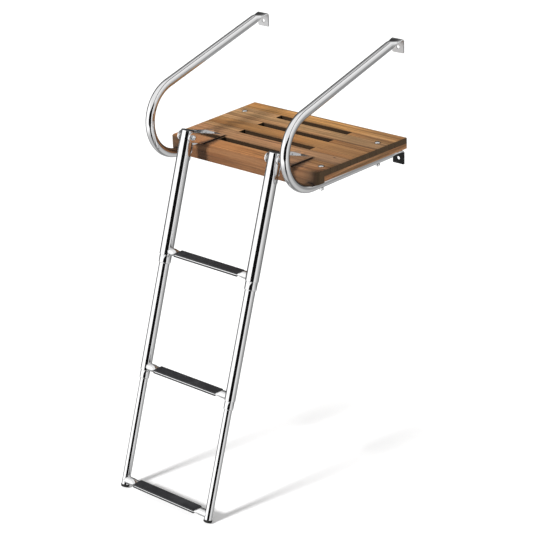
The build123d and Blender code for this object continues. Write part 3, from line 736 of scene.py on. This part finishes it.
def tread_outline():
    """Section of a tread, y and z in millimetres from the crossbar's axis.

    The sleeve is open at the front and has eleven grooves on top.
    """
    points = [(-14.2, -1.75), (-14.5, -2.0)]
    points += arc(-13.1, -2.9, 1.4, 180, 270, 5)
    points += arc(13.4, -2.7, 1.6, 270, 360, 5) + arc(13.4, 2.7, 1.6, 0, 90, 5)
    pitch = 2.4
    # one groove: offset from its middle, height
    groove = ((0.62, 4.3), (0.50, 4.18), (0.42, 3.8), (-0.42, 3.8), (-0.50, 4.18), (-0.62, 4.3))
    for k in range(5, -6, -1):
        points += [(k * pitch + y, z) for y, z in groove]
    points += arc(-13.1, 2.9, 1.4, 90, 180, 5)
    points += [(-14.5, 2.0), (-14.2, 1.75), (-12.9, 1.75)]
    # the inside, round the flattened bar
    points += arc(-11.3, 0, 2.2, 128, 90, 5) + arc(11.3, 0, 2.2, 90, -90, 10)
    return points + arc(-11.3, 0, 2.2, -90, -128, 5) + [(-12.9, -1.75)]


# softened tread ends: x in millimetres, scale in y, scale in z
TREAD_STATIONS = ((-99.5, 0.975, 0.90), (-99.2, 0.992, 0.97), (-98.7, 1, 1),
                  (98.7, 1, 1), (99.2, 0.992, 0.97), (99.5, 0.975, 0.90))


def tread(section):
    bar_y, bar_z = bar_axis(section)
    mm = 0.001
    outline = tread_outline()
    shape = bmesh.new()
    capped_skin(shape, [[Vector((x * mm, bar_y + y * scale_y * mm, bar_z + z * scale_z * mm))
                         for y, z in outline] for x, scale_y, scale_z in TREAD_STATIONS])
    finish_piece(shape, f"step_{section}", TREAD, "ladder_" + section, f"{section}_tread",
                 crease=30.0)


for section in STEPS:
    crossbar(section)
    tread(section)

# ------------------------------------------------------------------ handrails
TUBE_R = 0.0111
TAB_W, TAB_T, TAB_H = 0.033, 0.003, 0.035
TAB_CORNER, FOLD_R = 0.002, 0.003
HOLE_R, HOLE_DOWN = 0.00425, 0.020        # bolt hole, and its depth below the rail's end
PRESS_LEN = 0.034                         # of tube pressed from round to flat
TOP_TANGENT = (LOOP_C.y - LOOP_R * math.sin(RISE), LOOP_C.z + LOOP_R * math.cos(RISE))
LOW_END = (-TAB_T / 2, RAIL_Z)            # y, z where run and tab would meet unrounded
TOP_END = (-TAB_T / 2, TOP_TANGENT[1] + (-TAB_T / 2 - TOP_TANGENT[0]) * math.tan(RISE))

# painted reflection: near-black steel for the lower tabs
TAB_DARK_REFLECTION = make_steel("painted_dark_reflection_steel", rough=0.34, base=0.022, edge=0.016, brushed=0.03)
TAB_SATIN = make_steel("satin_steel", rough=0.36, base=0.56, edge=0.36, brushed=0.04)


def holed_plate(shape, outline, hole, radius, place, thick):
    """Plate with a round hole; outline is a 2-D loop that is cut along rays from the hole."""
    angles = turns(64)
    angles += [math.atan2(p[1] - hole[1], p[0] - hole[0]) % (2 * math.pi) for p in outline]
    angles = sorted(set(round(angle, 5) for angle in angles))
    outer = []
    for angle in angles:
        ray_x, ray_y = math.cos(angle), math.sin(angle)
        nearest = None
        for (x0, y0), (x1, y1) in zip(outline, outline[1:] + outline[:1]):
            edge_x, edge_y = x1 - x0, y1 - y0
            cross = ray_x * edge_y - ray_y * edge_x
            if abs(cross) < 1e-12:
                continue
            reach = ((x0 - hole[0]) * edge_y - (y0 - hole[1]) * edge_x) / cross
            share = ((x0 - hole[0]) * ray_y - (y0 - hole[1]) * ray_x) / cross
            if reach > 0 and -1e-6 <= share <= 1 + 1e-6 and (nearest is None or reach < nearest):
                nearest = reach
        outer.append((hole[0] + ray_x * nearest, hole[1] + ray_y * nearest))

    def circle(size):
        return [(hole[0] + size * math.cos(q), hole[1] + size * math.sin(q)) for q in angles]

    bevel = 0.0004
    rim, bore = circle(radius + bevel), circle(radius)
    layers = [(outer, 0.0), (rim, 0.0), (bore, bevel), (bore, thick - bevel),
              (rim, thick), (outer, thick)]
    skin(shape, [[place(point, depth) for point in points] for points, depth in layers],
         close=True)


def fold(end, slope):
    """Centre line of a run of given slope folded down into its tab.

    Returns where the fold starts, its stations and the height where it ends.
    """
    sweep = math.pi / 2 + slope
    tangent = FOLD_R * math.tan(sweep / 2)
    start = (end[0] - math.cos(slope) * tangent, end[1] - math.sin(slope) * tangent)
    centre = (start[0] + FOLD_R * math.sin(slope), start[1] - FOLD_R * math.cos(slope))
    stations = []
    for i in range(9):
        angle = slope - sweep * i / 8
        stations.append((centre[0] - FOLD_R * math.sin(angle),
                         centre[1] + FOLD_R * math.cos(angle), angle, 1.0))
    return start, stations, end[1] - tangent


def rail_stations(low_start, low_fold, top_start, top_fold):
    """Centre line from the lower tab round to the upper: y, z, heading, flatness."""
    stations = [(y, z, angle + math.pi, flat) for y, z, angle, flat in reversed(low_fold)]
    press_steps, run_steps, loop_steps = 16, 6, 72
    for i in range(1, press_steps + 1):
        run = PRESS_LEN * i / press_steps
        stations.append((low_start[0] - run, RAIL_Z, math.pi, 1 - ease(run / PRESS_LEN)))
    round_y = low_start[0] - PRESS_LEN
    for i in range(1, run_steps):
        stations.append((round_y + (LOOP_C.y - round_y) * i / run_steps, RAIL_Z, math.pi, 0.0))
    for i in range(loop_steps + 1):
        turn = -math.pi / 2 - (math.pi - RISE) * i / loop_steps
        stations.append((LOOP_C.y + LOOP_R * math.cos(turn), LOOP_C.z + LOOP_R * math.sin(turn),
                         turn - math.pi / 2, 0.0))
    press = (top_start[0] - PRESS_LEN * math.cos(RISE),
             top_start[1] - PRESS_LEN * math.sin(RISE))
    for i in range(1, run_steps + 1):
        stations.append((TOP_TANGENT[0] + (press[0] - TOP_TANGENT[0]) * i / run_steps,
                         TOP_TANGENT[1] + (press[1] - TOP_TANGENT[1]) * i / run_steps,
                         RISE, 0.0))
    for i in range(1, press_steps + 1):
        run = PRESS_LEN * i / press_steps
        stations.append((press[0] + run * math.cos(RISE), press[1] + run * math.sin(RISE),
                         RISE, ease(run / PRESS_LEN)))
    return stations + top_fold[1:]


def rail_tab(shape, x, end_z, fold_z):
    """Upright tab with rounded lower corners and a bolt hole."""
    half, corner = TAB_W / 2, TAB_CORNER
    bottom = end_z - TAB_H + TAB_T / 2
    top = fold_z + 0.0004
    quarter = [math.pi / 2 * i / 6 for i in range(7)]
    outline = [(-half, top), (-half, bottom + corner)]
    outline += [(-half + corner - corner * math.cos(q), bottom + corner - corner * math.sin(q))
                for q in quarter[1:]]
    outline += [(half - corner + corner * math.sin(q), bottom + corner - corner * math.cos(q))
                for q in quarter]
    outline += [(half, top)]
    holed_plate(shape, outline, (0.0, end_z - HOLE_DOWN), HOLE_R,
                lambda point, depth: Vector((x + point[0], -TAB_T + depth, point[1])), TAB_T)


def handrail(side, word):
    x = side * RAIL_X
    low_start, low_fold, low_z = fold(LOW_END, 0.0)
    top_start, top_fold, top_z = fold(TOP_END, RISE)
    rings = []
    for y, z, heading, flatness in rail_stations(low_start, low_fold, top_start, top_fold):
        normal = Vector((0, -math.sin(heading), math.cos(heading)))
        rings.append([Vector((x, y, z)) + X * u + normal * v
                      for u, v in pressed(TUBE_R, TAB_W, TAB_T, flatness)])
    shape = bmesh.new()
    skin(shape, rings)
    rail_tab(shape, x, LOW_END[1], low_z)
    rail_tab(shape, x, TOP_END[1], top_z)
    rail = finish_piece(shape, f"rail_{word}", STEEL, "platform", f"handrail_{word}",
                        crease=35.0)
    # painted reflection: the lower tabs are near black for the shaded underside they reflect, the
    # upper ones satin
    rail.data.materials.append(TAB_DARK_REFLECTION)
    rail.data.materials.append(TAB_SATIN)
    for face in rail.data.polygons:
        if face.center.y <= -0.006:
            continue
        if face.center.z < RAIL_Z - 0.0032:
            face.material_index = 1
        elif TOP_END[1] - TAB_H < face.center.z < TOP_END[1] - 0.0040:
            face.material_index = 2


for side, word in SIDES:
    handrail(side, word)


# ------------------------------------------------------------------ deck bolts and nuts
DECK_BOLTS = [(side * RAIL_X, y) for side, _ in SIDES
              for y in (DECK_FRONT + 0.038, DECK_FRONT + 0.2435)]
TUBE_LOW = RAIL_Z - TUBE_R
BOLT_PAST, THREAD_PITCH = 0.0072, 0.0008  # bolt length below the rail's tube


def hexagon(shape, origin, axis, height, radius, turn):
    """Hex nut body with its corners chamfered at both ends."""
    side, other = square_to(axis)

    def ring(distance, limit):
        points = []
        for angle in turns(48):
            off_middle = (angle % (math.pi / 3)) - math.pi / 6
            reach = min(radius * math.cos(math.pi / 6) / math.cos(off_middle), limit)
            points.append(origin + axis * distance + (
                side * math.cos(angle + turn) + other * math.sin(angle + turn)) * reach)
        return points

    chamfer, face_r, corner_r = 0.12 * height, radius * 0.88, radius * 1.01
    capped_skin(shape, [ring(0.0, face_r), ring(chamfer, corner_r),
                        ring(height - chamfer, corner_r), ring(height, face_r)])


def thread_profile():
    """Bolt shank from the deck's top, with ridges below the rail's tube."""
    top, end = TUBE_LOW - DECK_TOP, TUBE_LOW - BOLT_PAST - DECK_TOP
    profile = [(0.0, 0.003), (top + 0.001, 0.003)]
    z = top
    while z > end + THREAD_PITCH:
        profile += [(z, 0.0030), (z - 0.0004, 0.0026)]
        z -= THREAD_PITCH
    return profile + [(end + 0.0004, 0.0028), (end, 0.0023), (end, 0.0)]


shape = bmesh.new()
for x, y in DECK_BOLTS:
    head = [(-0.0002, 0.0)] + dome(radius=0.0065, base=0.0, top=0.0038, count=10)
    lathe(shape, Vector((x, y, DECK_TOP)), Z, head, segments=48)
    lathe(shape, Vector((x, y, DECK_TOP)), Z, thread_profile(), segments=32)
finish_piece(shape, "carriage_bolts", FASTENER, "platform", "deck_bolts", crease=40.0)

shape = bmesh.new()
for i, (x, y) in enumerate(DECK_BOLTS):
    hexagon(shape, Vector((x, y, TUBE_LOW)), -Z, height=0.0052, radius=0.00577, turn=0.4 * i)
finish_piece(shape, "underside_nuts", FASTENER, "platform", "deck_nuts", crease=25.0)

# ------------------------------------------------------------------ hinge screws
SCREWS = [(side * LEG_X, y) for side, _ in SIDES
          for y in (DECK_FRONT + 0.025, DECK_FRONT + 0.057)]
BRACKET_T, SCREW_HEAD = 0.0025, 0.0026
RECESS_DEPTH, RECESS_HALF_L, RECESS_HALF_W = 0.0016, 0.0021, 0.00042


def cross_cut(piece, spots):
    """Cuts a tapering cross recess into the piece at each (centre, turn)."""
    shape = bmesh.new()
    corners = ((-1, -1), (1, -1), (1, 1), (-1, 1))
    for centre, turn in spots:
        for angle in (turn, turn + math.pi / 2):
            along = Vector((math.cos(angle), math.sin(angle), 0))
            across = Vector((-math.sin(angle), math.cos(angle), 0))
            top = [centre + along * a * RECESS_HALF_L + across * b * RECESS_HALF_W + Z * 0.002
                   for a, b in corners]
            low = [centre + along * a * RECESS_HALF_L * 0.45 + across * b * RECESS_HALF_W * 0.6
                   - Z * RECESS_DEPTH for a, b in corners]
            capped_skin(shape, [low, top])
    bmesh.ops.recalc_face_normals(shape, faces=shape.faces)
    cutter = add_mesh(shape, "cutter")
    cutter_mesh = cutter.data
    cut = piece.modifiers.new("cut", "BOOLEAN")
    cut.operation = "DIFFERENCE"
    cut.solver = "EXACT"
    cut.use_self = True
    cut.object = cutter
    bpy.context.view_layer.update()
    depsgraph = bpy.context.evaluated_depsgraph_get()
    made = bpy.data.meshes.new_from_object(piece.evaluated_get(depsgraph))
    piece.modifiers.clear()
    old = piece.data
    piece.data = made
    bpy.data.meshes.remove(old)
    bpy.data.objects.remove(cutter)
    bpy.data.meshes.remove(cutter_mesh)


shape = bmesh.new()
for x, y in SCREWS:
    profile = [(BRACKET_T - 0.0135, 0.0), (BRACKET_T - 0.0125, 0.0006),
               (BRACKET_T - 0.0095, 0.00195), (BRACKET_T, 0.00195)]
    profile += dome(0.0044, BRACKET_T, BRACKET_T + SCREW_HEAD, count=8, edge=0.0003)
    lathe(shape, Vector((x, y, DECK_TOP)), Z, profile, segments=48)
screws = finish_piece(shape, "bracket_screws", FASTENER, "platform", "hinge_screws",
                      crease=40.0)
cross_cut(screws, [(Vector((x, y, DECK_TOP + BRACKET_T + SCREW_HEAD)), 0.5 + 1.1 * i)
                   for i, (x, y) in enumerate(SCREWS)])

# ------------------------------------------------------------------ hinge pivots
EAR_OUT = 0.0169 + BRACKET_T              # outer face of a hinge ear, from the leg's axis
PIN_END = -2 * EAR_OUT - 0.0048

shape = bmesh.new()
for side, _ in SIDES:
    profile = [(PIN_END, 0.0), (PIN_END, 0.0037), (0.0, 0.00398)]
    profile += dome(radius=0.0082, base=0.0, top=0.0064, count=12)
    lathe(shape, PIVOT + X * (side * LEG_X - EAR_OUT), -X, profile, segments=64)
finish_piece(shape, "pivot_pins", STEEL, "platform", "pivot_bolts", crease=40.0)

shape = bmesh.new()
for side, _ in SIDES:
    base = PIVOT + X * (side * LEG_X + EAR_OUT)
    hexagon(shape, base, X, height=0.0036, radius=0.0068, turn=0.3)
    profile = [(0.0030, 0.0), (0.0030, 0.0054)]
    profile += dome(radius=0.0054, base=0.0034, top=0.0090, count=10)
    lathe(shape, base, X, profile, segments=48)
finish_piece(shape, "acorn_nuts", STEEL, "platform", "pivot_nuts", crease=30.0)

# ------------------------------------------------------------------ world
WHITE = (1, 1, 1)
# brightness of the parts of the studio seen in reflections, and of the backdrop
LEFT_SCREEN, SCREEN_GAP, CEILING, FLOOR_GLOW, BLACK_CARD = 1.28, 0.05, 0.93, 0.58, 0.006
BACKDROP = 0.94
CEILING_TILT = 0.22                       # lowers the ceiling light towards the camera
CARD_DRIFT = 0.40                         # sideways shift of the card with height
# half widths of the card to the camera's left and right: at eye level, overhead, below
CARD_LEFT, CARD_RIGHT = (0.585, 0.085, 0.23), (0.430, 0.085, 0.24)


def black_card(net, toward, rightward, height):
    """Mask of the card behind the camera, carried on overhead as a narrow gap."""
    drift = net.math("MULTIPLY", net.math("MAXIMUM", height, 0.0), CARD_DRIFT)
    offset = net.math("SUBTRACT", rightward, drift)
    overhead = net.ramp(height, over=(0.22, 0.52))
    low = net.ramp(height, over=(-0.20, -0.40))

    def width(level, above, below):
        return net.lerp(low, net.lerp(overhead, level, above), below)

    left, right = width(*CARD_LEFT), width(*CARD_RIGHT)
    return net.product(net.ramp(net.math("ADD", offset, left), over=(-0.02, 0.02)),
                       net.ramp(net.math("SUBTRACT", offset, right), over=(0.02, -0.02)),
                       net.ramp(toward, over=(-0.42, -0.30)),
                       net.ramp(height, over=(-0.90, -0.60), to=(0.55, 1.0)))


def make_world():
    world = bpy.data.worlds.new("studio")
    scene.world = world
    world.use_nodes = True
    net = Net(world.node_tree, "ShaderNodeOutputWorld", "ShaderNodeBackground")
    direction = net.add("ShaderNodeTexCoord").outputs["Generated"]
    sine, cosine = math.sin(CAMERA_AZIMUTH), math.cos(CAMERA_AZIMUTH)
    toward = net.dot(direction, (sine, -cosine, 0))       # towards the camera
    rightward = net.dot(direction, (cosine, sine, 0))     # to its right
    height = net.dot(direction, (0, 0, 1))
    angle = net.math("ARCTAN2", rightward, toward)        # 0 behind the camera, + to the right
    spread = net.math("ABSOLUTE", angle)

    def fan(value, start, end, to=(0.0, 1.0)):
        """Ramp over an angle in degrees."""
        return net.ramp(value, over=(math.radians(start), math.radians(end)), to=to)

    # bright screen on the left, falling off to grey on the right, grey behind the object
    left = net.product(fan(angle, -20, -36), fan(angle, -114, -96))
    right = fan(angle, 30, 104, to=(0.92, 0.30))
    right = net.lerp(net.ramp(height, over=(0.0, 0.16)), right,
                     fan(angle, 30, 130, to=(0.86, 0.62)))
    light = net.lerp(left, right, LEFT_SCREEN)
    light = net.lerp(fan(spread, 122, 150), light,
                     net.ramp(height, over=(-0.31, -0.14), to=(0.50, 0.07)))
    gap = net.product(fan(spread, 108, 116), fan(spread, 140, 130),
                      net.ramp(height, over=(0.30, 0.20)))
    light = net.lerp(gap, light, SCREEN_GAP)
    tilted = net.math("ADD", height, net.math("MULTIPLY", toward, CEILING_TILT))
    light = net.lerp(net.ramp(tilted, over=(0.48, 0.60)), light, CEILING)
    light = net.lerp(net.ramp(height, over=(-0.34, -0.70)), light, FLOOR_GLOW)
    # unlit wall behind the object
    dim = net.product(net.ramp(toward, over=(-0.38, -0.56)), net.ramp(height, over=(0.22, 0.30)))
    light = net.lerp(dim, light, net.ramp(height, over=(0.46, 0.62), to=(0.10, 0.30)))
    light = net.lerp(black_card(net, toward, rightward, height), light, BLACK_CARD)
    # only reflections see the screens
    ray = net.add("ShaderNodeLightPath").outputs
    soft = net.ramp(height, over=(-0.5, 0.8), to=(0.32, 0.42))
    value = net.lerp(ray["Is Glossy Ray"], soft, light)
    net.fill(net.shader, {"Color": net.mix(0.0, WHITE, WHITE),
                          "Strength": net.lerp(ray["Is Camera Ray"], value, BACKDROP)})


make_world()

# ------------------------------------------------------------------ floor
FLOOR_HALF, FLOOR_GAP = 14, 0.0002


def floor_material():
    """Pale to the camera, greyer to other rays, see-through from below."""
    material, net = new_material("pale_floor")
    place = net.place()
    camera_ray = net.add("ShaderNodeLightPath").outputs["Is Camera Ray"]
    seen = net.coat((0.93, 0.93, 0.93), (0.95, 0.95, 0.95),
                    net.noise(place, scale=0.9, detail=2.0), over=(0.3, 0.7))
    unseen, glow = (0.42, 0.42, 0.42), 0.16
    net.fill(net.shader, {
        "Base Color": net.mix(camera_ray, unseen, seen),
        "Emission Color": WHITE,
        "Emission Strength": net.math("MULTIPLY", camera_ray, glow),
        "Roughness": 0.9,
        "Specular IOR Level": 0.1})
    below = net.add("ShaderNodeMixShader", {
        0: net.add("ShaderNodeNewGeometry").outputs["Backfacing"],
        1: net.shader.outputs[0],
        2: net.add("ShaderNodeBsdfTransparent").outputs[0]})
    net.put(net.output.inputs["Surface"], below.outputs[0])
    return material


floor_mesh = bpy.data.meshes.new("floor")
floor_z = cad_lo.z - FLOOR_GAP
floor_mesh.from_pydata([(x * FLOOR_HALF, y * FLOOR_HALF, floor_z)
                        for x, y in ((-1, -1), (1, -1), (1, 1), (-1, 1))], [], [(0, 1, 2, 3)])
floor = bpy.data.objects.new("floor", floor_mesh)
scene.collection.objects.link(floor)
floor_mesh.materials.append(floor_material())
floor.visible_glossy = False


# ------------------------------------------------------------------ light
def sun(name, azimuth, elevation, strength, angle):
    """Soft distant light, angles in degrees. Azimuth is counted from -Y towards +X."""
    light = bpy.data.lights.new(name, "SUN")
    light.energy = strength
    light.angle = math.radians(angle)
    lamp = bpy.data.objects.new(name, light)
    scene.collection.objects.link(lamp)
    turn, lift = math.radians(azimuth), math.radians(elevation)
    to_sun = Vector((math.sin(turn) * math.cos(lift), -math.cos(turn) * math.cos(lift),
                     math.sin(lift)))
    lamp.rotation_mode = "QUATERNION"
    lamp.rotation_quaternion = (-to_sun).to_track_quat("-Z", "Y")
    lamp.visible_glossy = False


sun("key", azimuth=-12.0, elevation=30.0, strength=4.5, angle=11.0)

# ------------------------------------------------------------------ camera
CAMERA_PLACE = (2.725852, -3.261119, 1.424593)
CAMERA_PITCH, CAMERA_ROLL = math.radians(22.409), math.radians(-1.955)


def camera_rotation():
    turn, pitch, roll = CAMERA_AZIMUTH, CAMERA_PITCH, CAMERA_ROLL
    forward = Vector((-math.sin(turn) * math.cos(pitch), math.cos(turn) * math.cos(pitch),
                      -math.sin(pitch)))
    right = Vector((math.cos(turn), math.sin(turn), 0))
    up = right.cross(forward)
    rolled_right = right * math.cos(roll) + up * math.sin(roll)
    rolled_up = -right * math.sin(roll) + up * math.cos(roll)
    return Matrix((rolled_right, rolled_up, -forward)).transposed()


camera = bpy.data.objects.new("camera", bpy.data.cameras.new("camera"))
scene.collection.objects.link(camera)
camera.data.sensor_width = 36.0
camera.data.lens = 123.046447
camera.matrix_world = Matrix.Translation(CAMERA_PLACE) @ camera_rotation().to_4x4()
camera.data.clip_start, camera.data.clip_end = 0.05, 60.0
scene.camera = camera

scene.view_settings.view_transform = "Standard"
scene.view_settings.look = "None"
scene.cycles.max_bounces = 8
scene.cycles.glossy_bounces = 6
